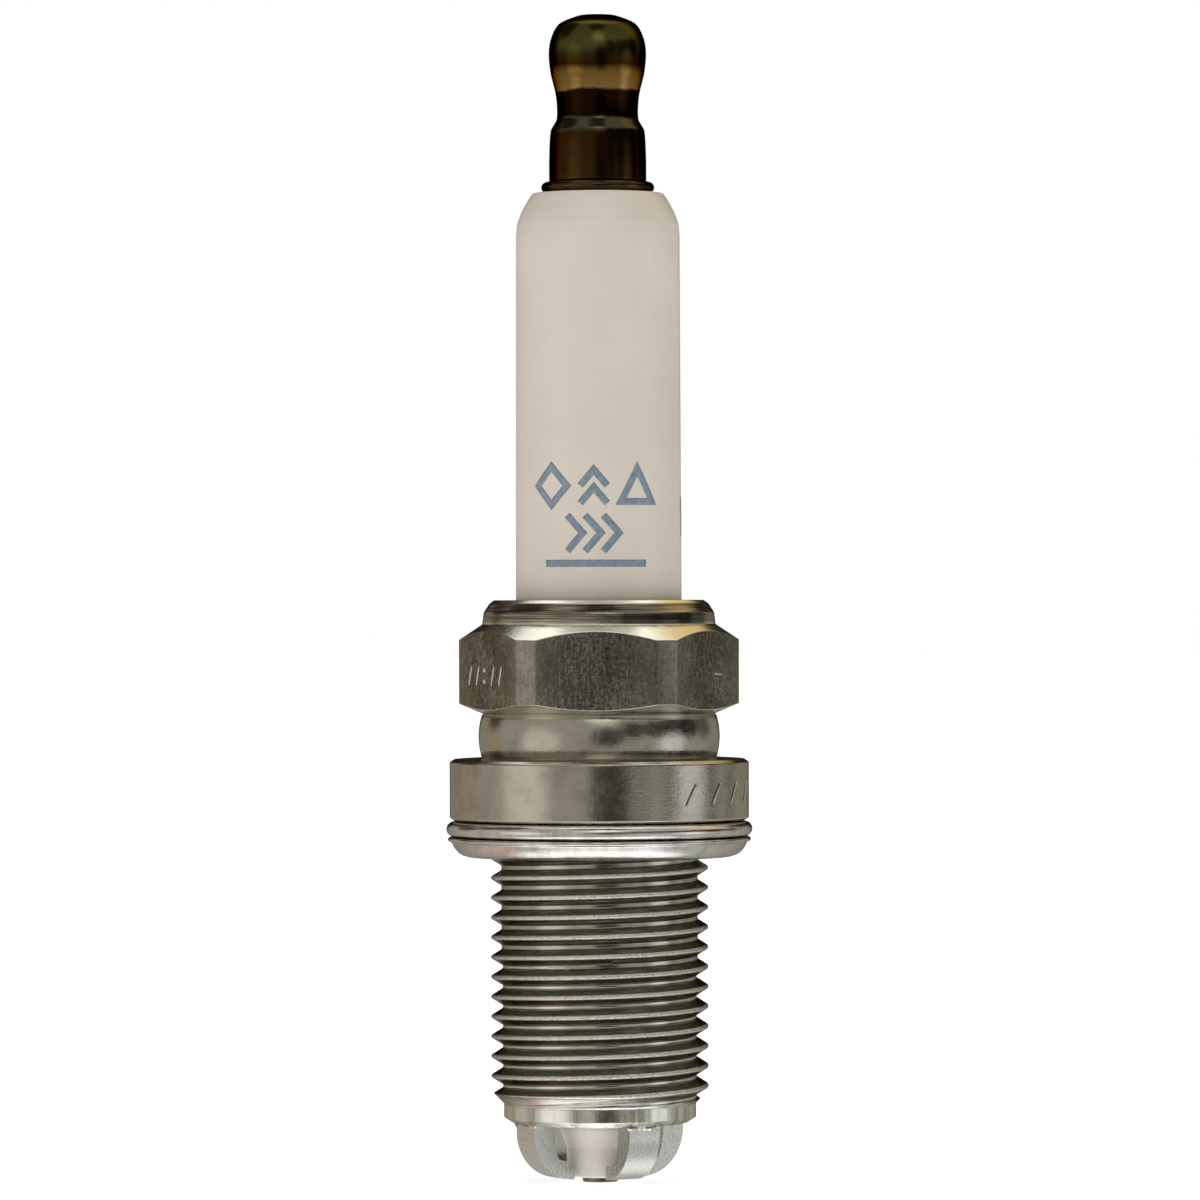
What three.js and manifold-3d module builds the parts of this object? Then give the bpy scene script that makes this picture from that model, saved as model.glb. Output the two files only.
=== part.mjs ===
// Spark plug, M14 x 1.25 with a 19 mm reach, a 16 mm hexagon and four ground electrodes.
// Millimetres, +Z up along the plug's axis. The origin is on the axis, in the plane of the
// shell's seat: the connector end is up, the firing end is down. A flat of the hexagon faces -Y.
// Run with the npm packages three and manifold-3d; the default export is the finished group.
import * as THREE from "three";
import { mergeVertices } from "three/addons/utils/BufferGeometryUtils.js";
import Module from "manifold-3d";

const wasm = await Module();
wasm.setup();

// ---- Driving dimensions -------------------------------------------------------------------
const REACH = 19.05; // seat to the end of the shell
const CONNECTOR_TOP = 50.85; // seat to the top of the terminal nut
const FIT = 0.03; // clearance left between pieces that touch

const THREAD = { major: 6.86, minor: 6.17, pitch: 1.25, top: -0.9, bottom: -17.65, raise: 0.175 };
const STUD_THREAD = { major: 1.97, minor: 1.6, pitch: 0.7, top: 49.3, bottom: 41.3, raise: 0 };

const FLANGE = { radius: 9.45, top: 3.92, bevel: 0.28 };
const HEX = { flat: 8, corner: 8.84, low: 6.72, high: 12.37, lowEdge: 7.37, highEdge: 11.4 };
const COLLAR = { base: 7.36, top: 13.9 };
const PILOT = { radius: 6.07, endRadius: 5.55 };
const LOWER_BORE = 4.1;
const UPPER_BORE = 6.2;

const HEAD = { low: 5.24, high: 5.16, top: 39.57 }; // the insulator's straight head
const NOSE = { tip: -22.45, radius: 2.09, rootRadius: 3.46 };
const CORE_BORE = 2.0; // holds the stud, the seals and the resistor
const ELECTRODE_BORE = 1.2;
const STUD = { end: 1.5, shank: 1.85, flange: 3.57, flangeTop: 40.28 };

const SEAT_CONE = { inner: 3.85, outer: 4.8, low: -5.4, high: -4.6 };
const PACKING = { radius: 5.72, wire: 0.42, low: 10.3, high: 12.8 };

const GROUND = { count: 4, turn: 32, width: 2.2, outer: 5.47, arcCentre: 2.5, tipRadius: 2.75 };
const GROUND_Z = { top: -REACH - 0.02, arc: -19.55, tipTop: -21.65 };

// Facets round a full turn, by the size of the piece. All divide by the hexagon's six sides.
const WIDE = 36;
const MEDIUM = 24;
const SMALL = 18;

// ---- Materials ----------------------------------------------------------------------------
const finish = (color, metalness, roughness) =>
  new THREE.MeshStandardMaterial({ color, metalness, roughness });
const MATERIALS = {
  platedSteel: finish(0xa9a79d, 1, 0.3),
  gasketSteel: finish(0xc4bdb8, 1, 0.22),
  darkTerminal: finish(0x2e2416, 1, 0.3),
  glazedCeramic: finish(0xd6cdc2, 0, 0.25),
  nickelAlloy: finish(0xb9bab5, 1, 0.35),
  copper: finish(0xb86b45, 1, 0.35),
  sealGlass: finish(0x4a3b34, 0.2, 0.6),
  resistor: finish(0x26262a, 0, 0.8),
  talc: finish(0xd9d4ca, 0, 0.95),
  steelWire: finish(0x8b8b88, 1, 0.4),
};

// ---- Shape helpers ------------------------------------------------------------------------

// Turns an outline of [radius, height] points round the Z axis. It runs anticlockwise: up the outside.
function turned(outline, facets) {
  const points = outline.map(([radius, height]) => new THREE.Vector2(radius, height));
  return new THREE.LatheGeometry(points, facets).rotateX(Math.PI / 2);
}

// The same for a ring, whose outline closes on itself away from the axis.
const turnedRing = (outline, facets) => turned([...outline, outline[0]], facets);

// Points along an arc of a circle in the [radius, height] plane, angles in degrees.
function arc([radius, height], size, from, to, steps) {
  return Array.from({ length: steps + 1 }, (_, i) => {
    const angle = THREE.MathUtils.degToRad(from + ((to - from) * i) / steps);
    return [radius + size * Math.cos(angle), height + size * Math.sin(angle)];
  });
}

function toSolid(geometry) {
  const bare = new THREE.BufferGeometry();
  bare.setAttribute("position", geometry.getAttribute("position"));
  bare.setIndex(geometry.index);
  const merged = mergeVertices(bare, 1e-4);
  return new wasm.Manifold(
    new wasm.Mesh({
      numProp: 3,
      vertProperties: merged.attributes.position.array,
      triVerts: new Uint32Array(merged.index.array),
    }),
  );
}

function toGeometry(solid) {
  const { vertProperties, triVerts } = solid.getMesh();
  return new THREE.BufferGeometry()
    .setAttribute("position", new THREE.BufferAttribute(vertProperties, 3))
    .setIndex(new THREE.BufferAttribute(triVerts, 1));
}

// A rod with a one-start right-hand ISO thread, closed by a cone at each end. It runs a turn
// past both ends of the thread, so it is trimmed to length afterwards. The raise sets how far up
// its helix starts, and so which way the crests face.
function threadedRod({ major, minor, pitch, top, bottom, raise }, facets) {
  const crestFlat = pitch * 0.1;
  const rootFlat = pitch * 0.16;
  const flank = (pitch - crestFlat - rootFlat) / 2;
  const section = [
    [minor, 0],
    [minor, rootFlat],
    [major, rootFlat + flank],
    [major, rootFlat + flank + crestFlat],
  ];
  const start = bottom - 2 * pitch + raise;
  const steps = Math.ceil((top - start) / pitch + 1) * facets;
  const positions = [];
  for (let k = 0; k <= steps; k++) {
    const angle = (2 * Math.PI * k) / facets;
    for (const [radius, rise] of section) {
      const height = start + (pitch * k) / facets + rise;
      positions.push(radius * Math.cos(angle), radius * Math.sin(angle), height);
    }
  }
  const at = (k, j) => k * section.length + j;
  const last = section.length - 1;
  const faces = [];
  const quad = (a, b, c, d) => faces.push(a, b, c, a, c, d);
  for (let k = 0; k < steps; k++) {
    for (let j = 0; j < last; j++) quad(at(k, j), at(k + 1, j), at(k + 1, j + 1), at(k, j + 1));
    if (k + facets < steps)
      quad(at(k, last), at(k + 1, last), at(k + 1 + facets, 0), at(k + facets, 0));
  }
  const lowCentre = positions.length / 3;
  positions.push(0, 0, start - pitch);
  const highCentre = lowCentre + 1;
  positions.push(0, 0, start + (pitch * steps) / facets + 2 * pitch);
  for (let k = 0; k < facets; k++) {
    faces.push(lowCentre, at(k + 1, 0), at(k, 0));
    faces.push(highCentre, at(steps - facets + k, last), at(steps - facets + k + 1, last));
  }
  for (let j = 0; j < last; j++) {
    faces.push(lowCentre, at(0, j), at(0, j + 1));
    faces.push(highCentre, at(steps, j + 1), at(steps, j));
  }
  faces.push(lowCentre, at(0, last), at(facets, 0));
  faces.push(highCentre, at(steps, 0), at(steps - facets, last));
  return new THREE.BufferGeometry()
    .setAttribute("position", new THREE.Float32BufferAttribute(positions, 3))
    .setIndex(faces);
}

// ---- Metal shell --------------------------------------------------------------------------

// Crimp collar, plain neck under the hexagon and the round seat flange.
function shellBody() {
  const neck = [
    [7.45, FLANGE.top + 0.1],
    [7.6, 4.8],
    [7.63, 5.5],
    [7.56, 6.2],
    [7.34, HEX.low + 0.1],
  ];
  const collar = [
    [COLLAR.base, HEX.high - 0.1],
    [7.32, 12.75],
    [7.18, 13.2],
    [6.96, 13.6],
    [6.67, COLLAR.top],
  ];
  return turned(
    [
      [0, 0],
      [FLANGE.radius - FLANGE.bevel, 0],
      [FLANGE.radius, FLANGE.bevel / 2],
      [FLANGE.radius, FLANGE.top - 0.3],
      [FLANGE.radius - 0.25, FLANGE.top - 0.06],
      ...neck,
      ...collar,
      [0, COLLAR.top],
    ],
    WIDE,
  );
}

// Hexagonal prism with its corners turned round and both ends chamfered.
function hexagon() {
  const reach = HEX.flat / Math.cos(Math.PI / 6);
  const outline = Array.from({ length: 6 }, (_, i) => {
    const angle = (i * Math.PI) / 3;
    return new THREE.Vector2(reach * Math.cos(angle), reach * Math.sin(angle));
  });
  const prism = new THREE.ExtrudeGeometry(new THREE.Shape(outline), {
    depth: HEX.high - HEX.low,
    bevelEnabled: false,
  }).translate(0, 0, HEX.low);
  const chamfers = turned(
    [
      [0, HEX.low],
      [7.34, HEX.low],
      [HEX.corner, HEX.lowEdge],
      [HEX.corner, HEX.highEdge],
      [COLLAR.base + 0.02, HEX.high],
      [0, HEX.high],
    ],
    WIDE,
  );
  return toSolid(prism).intersect(toSolid(chamfers));
}

// The threaded barrel, trimmed to length, its last turn running out in a chamfer.
function barrel() {
  const envelope = turned(
    [
      [0, THREAD.bottom],
      [THREAD.minor, THREAD.bottom],
      [THREAD.major + 0.1, THREAD.bottom + 0.75],
      [THREAD.major + 0.1, THREAD.top - 0.6],
      [THREAD.minor + 0.05, THREAD.top],
      [THREAD.minor + 0.05, 0.5],
      [0, 0.5],
    ],
    WIDE,
  );
  const pilot = turned(
    [
      [0, -REACH],
      [PILOT.endRadius, -REACH],
      [PILOT.radius, -REACH + 0.4],
      [PILOT.radius, THREAD.bottom + 0.5],
      [0, THREAD.bottom + 0.5],
    ],
    WIDE,
  );
  const reliefHeight = 0.8;
  const relief = turned(
    [
      [0, THREAD.top - reliefHeight],
      [THREAD.minor + 0.05, THREAD.top - reliefHeight],
      [THREAD.minor + 0.05, 0.5],
      [0, 0.5],
    ],
    WIDE,
  );
  return toSolid(threadedRod(THREAD, MEDIUM))
    .intersect(toSolid(envelope))
    .add(toSolid(pilot))
    .add(toSolid(relief));
}

// What the insulator, the seat washer, the talc and the packing rings fill.
function shellBore() {
  return turned(
    [
      [0, -REACH - 1],
      [LOWER_BORE, -REACH - 1],
      [LOWER_BORE, -7.2],
      [SEAT_CONE.inner, -6.9],
      [SEAT_CONE.inner, SEAT_CONE.low],
      [SEAT_CONE.outer, SEAT_CONE.high],
      [SEAT_CONE.outer, 2.1],
      [UPPER_BORE, 3.8],
      [UPPER_BORE, PACKING.high + 0.15],
      [PACKING.radius + 0.33, PACKING.high + 0.38],
      [PACKING.radius + 0.08, PACKING.high + 0.49],
      [HEAD.low + 0.16, PACKING.high + 0.55],
      [HEAD.low + 0.16, COLLAR.top + 1],
      [0, COLLAR.top + 1],
    ],
    WIDE,
  );
}

function shell() {
  return toGeometry(
    toSolid(shellBody()).add(hexagon()).add(barrel()).subtract(toSolid(shellBore())),
  );
}

// ---- Crush gasket -------------------------------------------------------------------------

// One strip of sheet steel rolled into an S: a top leaf that curls over at the rim, a middle leaf
// that turns back inwards, and a lower cup whose lip ends just under the roll.
function gasket() {
  const sheet = 0.28;
  const centreline = [
    [7.25, -0.18],
    [8.6, -0.18],
    ...arc([9.18, -0.54], 0.36, 80, -80, 4),
    [8.4, -0.9],
    ...arc([7.72, -1.53], 0.63, 90, 270, 4),
    [7.9, -2.16],
    [8.15, -2.16],
    [8.25, -2.16],
    [8.76, -2],
    [9.02, -1.74],
    [9.22, -1.34],
    [9.43, -1.19],
  ];
  return turnedRing(strip(centreline, sheet), WIDE);
}

// The outline of a strip of even thickness along a centreline of [radius, height] points.
function strip(centreline, thickness) {
  const sides = centreline.map((point, i) => {
    const before = centreline[Math.max(i - 1, 0)];
    const after = centreline[Math.min(i + 1, centreline.length - 1)];
    const along = new THREE.Vector2(after[0] - before[0], after[1] - before[1]).normalize();
    const out = [(-along.y * thickness) / 2, (along.x * thickness) / 2];
    return [
      [point[0] - out[0], point[1] - out[1]],
      [point[0] + out[0], point[1] + out[1]],
    ];
  });
  return [...sides.map(([right]) => right), ...sides.map(([, left]) => left).reverse()];
}

// ---- Insulator and what it holds ----------------------------------------------------------

function insulator() {
  const outside = [
    [NOSE.radius - 0.15, NOSE.tip],
    [NOSE.radius, NOSE.tip + 0.15],
    [NOSE.radius + 0.02, -20.6],
    [2.54, -19.5],
    [NOSE.rootRadius, -5.9],
    [3.56, -5.12],
    [4.55, -4.28],
    [4.55, 2.6],
    [6.05, 4.2],
    [6.05, 9.4],
    [HEAD.low, 10.1],
    [HEAD.high, 36.9],
    [5.1, 37.65],
    [4.82, 38.4],
    [4.42, 39.17],
    [3.95, HEAD.top],
  ];
  const inside = [
    [CORE_BORE, HEAD.top],
    [CORE_BORE, -3.4],
    [ELECTRODE_BORE, -3.95],
    [ELECTRODE_BORE, NOSE.tip],
  ];
  return turnedRing([...outside, ...inside], WIDE);
}

// Nickel-alloy cup: a headed rod, hollow down to its tip for the copper core.
function centreElectrode() {
  return turned(
    [
      [0, -22.8],
      [1.02, -22.8],
      [1.12, -22.7],
      [1.12, -3.98],
      [1.72, -3.5],
      [1.72, -2.7],
      [1.35, -2.2],
      [0.66, -2.2],
      [0.66, -21.2],
      [0, -21.2],
    ],
    SMALL,
  );
}

function copperCore() {
  return turned(
    [
      [0, -21.2 + FIT],
      [0.45, -21.2 + FIT],
      [0.63, -20.9],
      [0.63, -2.2],
      [0, -2.2],
    ],
    SMALL,
  );
}

// A plain cylinder between two heights, for the seal and the resistor in the insulator's bore.
function slug(low, high, radius = CORE_BORE - FIT) {
  return turned(
    [
      [0, low],
      [radius, low],
      [radius, high],
      [0, high],
    ],
    SMALL,
  );
}

// The upper glass seal sits like a cup round the end of the terminal stud.
function upperGlassSeal() {
  const radius = CORE_BORE - FIT;
  const socket = STUD.end + FIT;
  return turned(
    [
      [0, 9.36],
      [radius, 9.36],
      [radius, 13.1],
      [socket, 13.1],
      [socket, 10.9],
      [0, 10.9],
    ],
    SMALL,
  );
}

// Steel stud: gripped end, shank, a rolled flange on the insulator's top and an M4 thread above.
function terminalStud() {
  const flangeMiddle = (HEAD.top + STUD.flangeTop) / 2 + FIT / 2;
  const body = turned(
    [
      [0, 10.93],
      [STUD.end - 0.2, 10.93],
      [STUD.end, 11.13],
      [STUD.end, 15],
      [STUD.shank, 15.4],
      [STUD.shank, HEAD.top + FIT],
      ...arc([STUD.flange - 0.34, flangeMiddle], 0.34, -85, 85, 4),
      [STUD_THREAD.minor, STUD.flangeTop],
      [STUD_THREAD.minor, STUD_THREAD.bottom + 0.3],
      [0, STUD_THREAD.bottom + 0.3],
    ],
    MEDIUM,
  );
  const envelope = turned(
    [
      [0, STUD.flangeTop + 0.3],
      [STUD_THREAD.major, STUD.flangeTop + 0.3],
      [STUD_THREAD.major, STUD_THREAD.top - 0.4],
      [STUD_THREAD.minor - 0.05, STUD_THREAD.top],
      [0, STUD_THREAD.top],
    ],
    MEDIUM,
  );
  const thread = { ...STUD_THREAD, bottom: STUD.flangeTop };
  return toGeometry(
    toSolid(body).add(toSolid(threadedRod(thread, 12)).intersect(toSolid(envelope))),
  );
}

// Cap nut of the solid connector shape: skirt, neck and domed bulb over a blind bore.
function terminalNut() {
  const base = STUD.flangeTop + FIT;
  const bore = STUD_THREAD.major + 0.07;
  return turned(
    [
      [bore, base],
      [3.09, base],
      [3.0, 43.4],
      [2.6, 44.25],
      [2.58, 44.9],
      [2.7, 46.05],
      [2.97, 47.2],
      [3.08, 48.1],
      [3.04, 48.8],
      [2.92, 49.4],
      [2.62, 50.05],
      [2.2, 50.42],
      [1.2, 50.78],
      [0.9, CONNECTOR_TOP],
      [0, CONNECTOR_TOP],
      [0, 49.75],
      [bore, 49.75],
      [bore, base],
    ],
    MEDIUM,
  );
}

// ---- Internal sealing ---------------------------------------------------------------------

// Thin steel washer between the insulator's cone and the shell's seat.
function seatWasher() {
  const slope = new THREE.Vector2(
    SEAT_CONE.outer - SEAT_CONE.inner,
    SEAT_CONE.high - SEAT_CONE.low,
  ).normalize();
  const on = (along, above) => [
    SEAT_CONE.inner + along * slope.x - above * slope.y,
    SEAT_CONE.low + along * slope.y + above * slope.x,
  ];
  const length = 0.85;
  return turnedRing([on(0.15, FIT), on(length, FIT), on(length, 0.36), on(0.15, 0.36)], WIDE);
}

const packingRing = (height) =>
  turnedRing(arc([PACKING.radius, height], PACKING.wire, 0, 315, 7), MEDIUM);

function talcFill() {
  const low = PACKING.low + PACKING.wire + FIT;
  const high = PACKING.high - PACKING.wire - FIT;
  const inner = HEAD.low + FIT;
  const outer = UPPER_BORE - FIT;
  return turnedRing(
    [
      [inner, low],
      [outer, low],
      [outer, high],
      [inner, high],
    ],
    WIDE,
  );
}

// ---- Ground electrodes --------------------------------------------------------------------

// One bent strap, welded to the shell's end and curving in to a punched, concave tip.
function groundElectrode() {
  const { outer, arcCentre, width, tipRadius } = GROUND;
  const bend = outer - arcCentre;
  const outline = new THREE.Shape();
  outline.moveTo(4.05, GROUND_Z.top);
  outline.lineTo(4.0, GROUND_Z.arc);
  outline.bezierCurveTo(3.92, -20.9, 3.5, -21.5, 2.9, GROUND_Z.tipTop + 0.04);
  outline.lineTo(1.8, GROUND_Z.tipTop);
  outline.lineTo(1.8, GROUND_Z.arc - bend);
  outline.lineTo(arcCentre, GROUND_Z.arc - bend);
  outline.absarc(arcCentre, GROUND_Z.arc, bend, -Math.PI / 2, 0, false);
  outline.lineTo(outer, GROUND_Z.top);
  const strap = new THREE.ExtrudeGeometry(outline, {
    depth: width,
    bevelEnabled: false,
    curveSegments: 7,
  })
    .translate(0, 0, -width / 2)
    .rotateX(Math.PI / 2);
  const punch = slug(-24, GROUND_Z.top, tipRadius);
  return toGeometry(toSolid(strap).subtract(toSolid(punch)));
}

// ---- Assembly -----------------------------------------------------------------------------

const plug = new THREE.Group();

function place(name, geometry, material, turn = 0) {
  const mesh = new THREE.Mesh(geometry, material);
  mesh.name = name;
  mesh.rotation.z = THREE.MathUtils.degToRad(turn);
  plug.add(mesh);
}

place("shell", shell(), MATERIALS.platedSteel);
place("gasket", gasket(), MATERIALS.gasketSteel);
place("insulator", insulator(), MATERIALS.glazedCeramic);
place("terminal_nut", terminalNut(), MATERIALS.darkTerminal);
place("terminal_stud", terminalStud(), MATERIALS.darkTerminal);
place("upper_glass_seal", upperGlassSeal(), MATERIALS.sealGlass);
place("resistor", slug(1.23, 9.33), MATERIALS.resistor);
place("lower_glass_seal", slug(-2.2 + FIT, 1.2), MATERIALS.sealGlass);
place("centre_electrode", centreElectrode(), MATERIALS.nickelAlloy);
place("copper_core", copperCore(), MATERIALS.copper);
place("seat_washer", seatWasher(), MATERIALS.steelWire);
place("lower_packing_ring", packingRing(PACKING.low), MATERIALS.steelWire);
place("talc_fill", talcFill(), MATERIALS.talc);
place("upper_packing_ring", packingRing(PACKING.high), MATERIALS.steelWire);
for (let i = 0; i < GROUND.count; i++) {
  const turn = GROUND.turn + (i * 360) / GROUND.count;
  place(`ground_electrode_${i + 1}`, groundElectrode(), MATERIALS.nickelAlloy, turn);
}

export default plug;
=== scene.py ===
"""The looks of a spark plug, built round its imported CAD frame. Sizes below are in millimetres."""

import math

import bmesh
import bpy
import numpy as np
from mathutils import Matrix, Vector


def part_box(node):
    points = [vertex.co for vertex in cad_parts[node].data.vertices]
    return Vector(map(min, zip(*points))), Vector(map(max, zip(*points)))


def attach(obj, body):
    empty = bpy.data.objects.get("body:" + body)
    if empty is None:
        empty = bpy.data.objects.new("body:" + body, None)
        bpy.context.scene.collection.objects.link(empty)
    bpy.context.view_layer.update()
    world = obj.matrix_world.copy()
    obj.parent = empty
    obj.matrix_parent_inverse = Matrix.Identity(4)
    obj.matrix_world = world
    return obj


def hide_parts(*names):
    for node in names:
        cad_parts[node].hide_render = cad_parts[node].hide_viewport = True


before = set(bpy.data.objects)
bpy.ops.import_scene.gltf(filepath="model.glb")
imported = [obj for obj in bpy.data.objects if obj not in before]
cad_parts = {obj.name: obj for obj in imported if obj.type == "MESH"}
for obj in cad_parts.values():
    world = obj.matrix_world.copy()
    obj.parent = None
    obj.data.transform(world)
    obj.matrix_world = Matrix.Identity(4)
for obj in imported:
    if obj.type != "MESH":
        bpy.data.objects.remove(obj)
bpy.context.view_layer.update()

MM = 0.001


# ---- Sizes from the frame --------------------------------------------------------------------


def top(node):
    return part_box(node)[1].z / MM


def bottom(node):
    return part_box(node)[0].z / MM


def radius(node):
    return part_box(node)[1].x / MM


SHELL_END = bottom("shell")
COLLAR_TOP = top("shell")
FLANGE_RADIUS = radius("shell")
HEAD_TOP = top("insulator")
NOSE_TIP = bottom("insulator")
NUT_BASE = bottom("terminal_nut")
NUT_TOP = top("terminal_nut")
NUT_RADIUS = radius("terminal_nut")
STUD_TOP = top("terminal_stud")
STUD_END = bottom("terminal_stud")
FIRING_END = bottom("centre_electrode")

# ---- Sizes of the details --------------------------------------------------------------------

THREAD = {"major": 6.86, "minor": 6.12, "pitch": 1.25, "crest": 0.17, "slope": 32, "phase": 0.125}
STUD_THREAD = {"major": 1.97, "minor": 1.58, "pitch": 0.7, "crest": 0.1, "slope": 30, "phase": 0}
PILOT_RADIUS = 6.07
RELIEF_RADIUS = 6.2

FLANGE_TOP = 3.92
HEX_FLAT = 8.0
HEX_CORNER = 8.84
HEX_LOW = (7.34, 6.72)
HEX_HIGH = (7.36, 12.37)
HEX_EDGES = (7.37, 11.4)
NECK = {"radius": 7.62, "middle": 5.3, "curve": 4.4}

LOWER_BORE = 4.1
UPPER_BORE = 6.2
SEAT = ((3.85, -5.4), (4.8, -4.6))

CORE_BORE = 2.0
HEAD_RADIUS = (5.24, 5.16)
PRINT_LIFT = 0.012

STRAP_WIDTH = 2.2
STRAP_OUTER = 5.47
STRAP_TIP = 2.75
STRAP_BEND = -19.55
STRAP_TURN = 32

# Finishes: the heights of the dark crimp, the painted highlights on the bevels and at the firing end,
# the thread's painted crest and root highlights as distances from the axis, and where the glaze starts.
CRIMP = (12.56, 13.68)
BEVEL_HIGHLIGHTS = [
    (COLLAR_TOP - 0.18, COLLAR_TOP + 0.2),
    (11.2, 12.44),
    (HEX_LOW[1], HEX_EDGES[0]),
    (-0.1, 0.2),
]
END_HIGHLIGHT = (-17.6, -18.0)
THREAD_END_HIGHLIGHT = (-17.1, -17.6)
CREST_HIGHLIGHT = (6.76, 6.84)
ROOT_HIGHLIGHT = (6.24, 6.16)
GLAZE_LOW = 9.5


# ---- Outlines and surfaces of revolution -----------------------------------------------------


def rounded(corners, closed=False, steps=4, longest=1.0):
    """Points along an outline of (radius, height, fillet) corners, each fillet a short curve.

    A radius or height may be an array with one value per angle, so the outline can change
    round the turn. Every straight run gets a point just outside each fillet, to keep it flat.
    """
    width = max(np.size(c[i]) for c in corners for i in (0, 1))
    spots = [np.stack([np.broadcast_to(value, width) for value in c[:2]], -1) for c in corners]
    fillets = [c[2] if len(c) > 2 else 0 for c in corners]
    count = len(corners)
    runs = []
    for i, (spot, fillet) in enumerate(zip(spots, fillets)):
        open_end = not closed and i in (0, count - 1)
        if open_end or not fillet:
            runs.append([spot])
            continue
        back = spots[i - 1] - spot
        on = spots[(i + 1) % count] - spot
        back_length = np.linalg.norm(back, axis=-1, keepdims=True)
        on_length = np.linalg.norm(on, axis=-1, keepdims=True)
        back, on = back / back_length, on / on_length
        cosine = np.clip((back * on).sum(-1, keepdims=True), -1, 1)
        reach = fillet / np.tan(np.arccos(cosine) / 2)
        reach = np.minimum(reach, 0.42 * np.minimum(back_length, on_length))
        start, end = spot + back * reach, spot + on * reach
        curve = [start + back * reach * 0.15]
        for t in np.linspace(0, 1, steps + 1):
            curve.append(start * (1 - t) ** 2 + spot * 2 * t * (1 - t) + end * t * t)
        curve.append(end + on * reach * 0.15)
        runs.append(curve)
    points = []
    for i, run in enumerate(runs):
        points.extend(run)
        if i == count - 1 and not closed:
            break
        here, there = run[-1], runs[(i + 1) % count][0]
        gap = np.linalg.norm(there - here, axis=-1).max()
        cuts = int(gap / longest)
        points.extend(here + (there - here) * k / (cuts + 1) for k in range(1, cuts + 1))
    if closed:
        points.append(points[0])
    return np.array(points)


def turn_angles(count):
    return np.linspace(0, 2 * math.pi, count + 1) + math.pi / 2


def revolve(points, angles):
    """Grid of positions from outline points, shaped (point, angle or 1, radius and height)."""
    points = np.broadcast_to(points, (points.shape[0], len(angles), 2))
    r, z = points[..., 0], points[..., 1]
    return np.stack([r * np.cos(angles), r * np.sin(angles), z], -1)


def helix(thread, low, high, envelope, angles):
    """A threaded surface between two heights, cut down to the envelope, a function of height.

    Its rows follow the helix. Rows that would pass an end lie along that end.
    """
    pitch, crest, depth = thread["pitch"], thread["crest"], thread["major"] - thread["minor"]
    flank = depth * math.tan(math.radians(thread["slope"]))
    root = (pitch - crest - 2 * flank) / 2
    section = rounded(
        [
            (thread["minor"], 0),
            (thread["minor"], root, depth * 0.2),
            (thread["major"], root + flank, crest * 0.75),
            (thread["major"], root + flank + crest, crest * 0.75),
            (thread["minor"], root + 2 * flank + crest, depth * 0.2),
            (thread["minor"], pitch),
        ],
        steps=3,
        longest=pitch / 12,
    )[:-1, 0]
    turns = math.ceil((high - low) / pitch) + 2
    first = math.floor((low - thread["phase"]) / pitch) - 2
    offsets = (np.arange(turns)[:, None] + first) * pitch + thread["phase"] + section[:, 1]
    rows_z = offsets.ravel()[:, None] + pitch * angles / (2 * math.pi)
    rows_r = np.broadcast_to(np.tile(section[:, 0], turns)[:, None], rows_z.shape)
    z = np.clip(rows_z, low, high)
    r = envelope(z, rows_r)
    return np.stack([r * np.cos(angles), r * np.sin(angles), z], -1)


def mesh_of(grids, name):
    """One closed mesh from grids of positions whose edges meet. Points that coincide become one."""
    verts, faces = [], []
    for grid in grids:
        rows, columns, _ = grid.shape
        base = len(verts)
        verts.extend(map(tuple, grid.reshape(-1, 3) * MM))
        for i in range(rows - 1):
            for j in range(columns - 1):
                a = base + i * columns + j
                faces.append((a, a + 1, a + 1 + columns, a + columns))
    mesh = bpy.data.meshes.new(name)
    mesh.from_pydata(verts, [], faces)
    bm = bmesh.new()
    bm.from_mesh(mesh)
    bmesh.ops.remove_doubles(bm, verts=bm.verts, dist=0.0004 * MM)
    bmesh.ops.dissolve_degenerate(bm, dist=0.0002 * MM, edges=bm.edges)
    bmesh.ops.recalc_face_normals(bm, faces=bm.faces)
    bm.to_mesh(mesh)
    bm.free()
    return mesh


def add_piece(mesh, name, body, materials, nodes=(), sharp=38):
    """Puts a mesh in the scene as a piece that rides on a body and stands for CAD nodes."""
    piece = bpy.data.objects.new(name, mesh)
    bpy.context.scene.collection.objects.link(piece)
    for material in materials:
        mesh.materials.append(material)
    mesh.shade_smooth()
    mesh.set_sharp_from_angle(angle=math.radians(sharp))
    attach(piece, body)
    if nodes:
        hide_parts(*nodes)
    return piece


# ---- Materials -------------------------------------------------------------------------------


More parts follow.
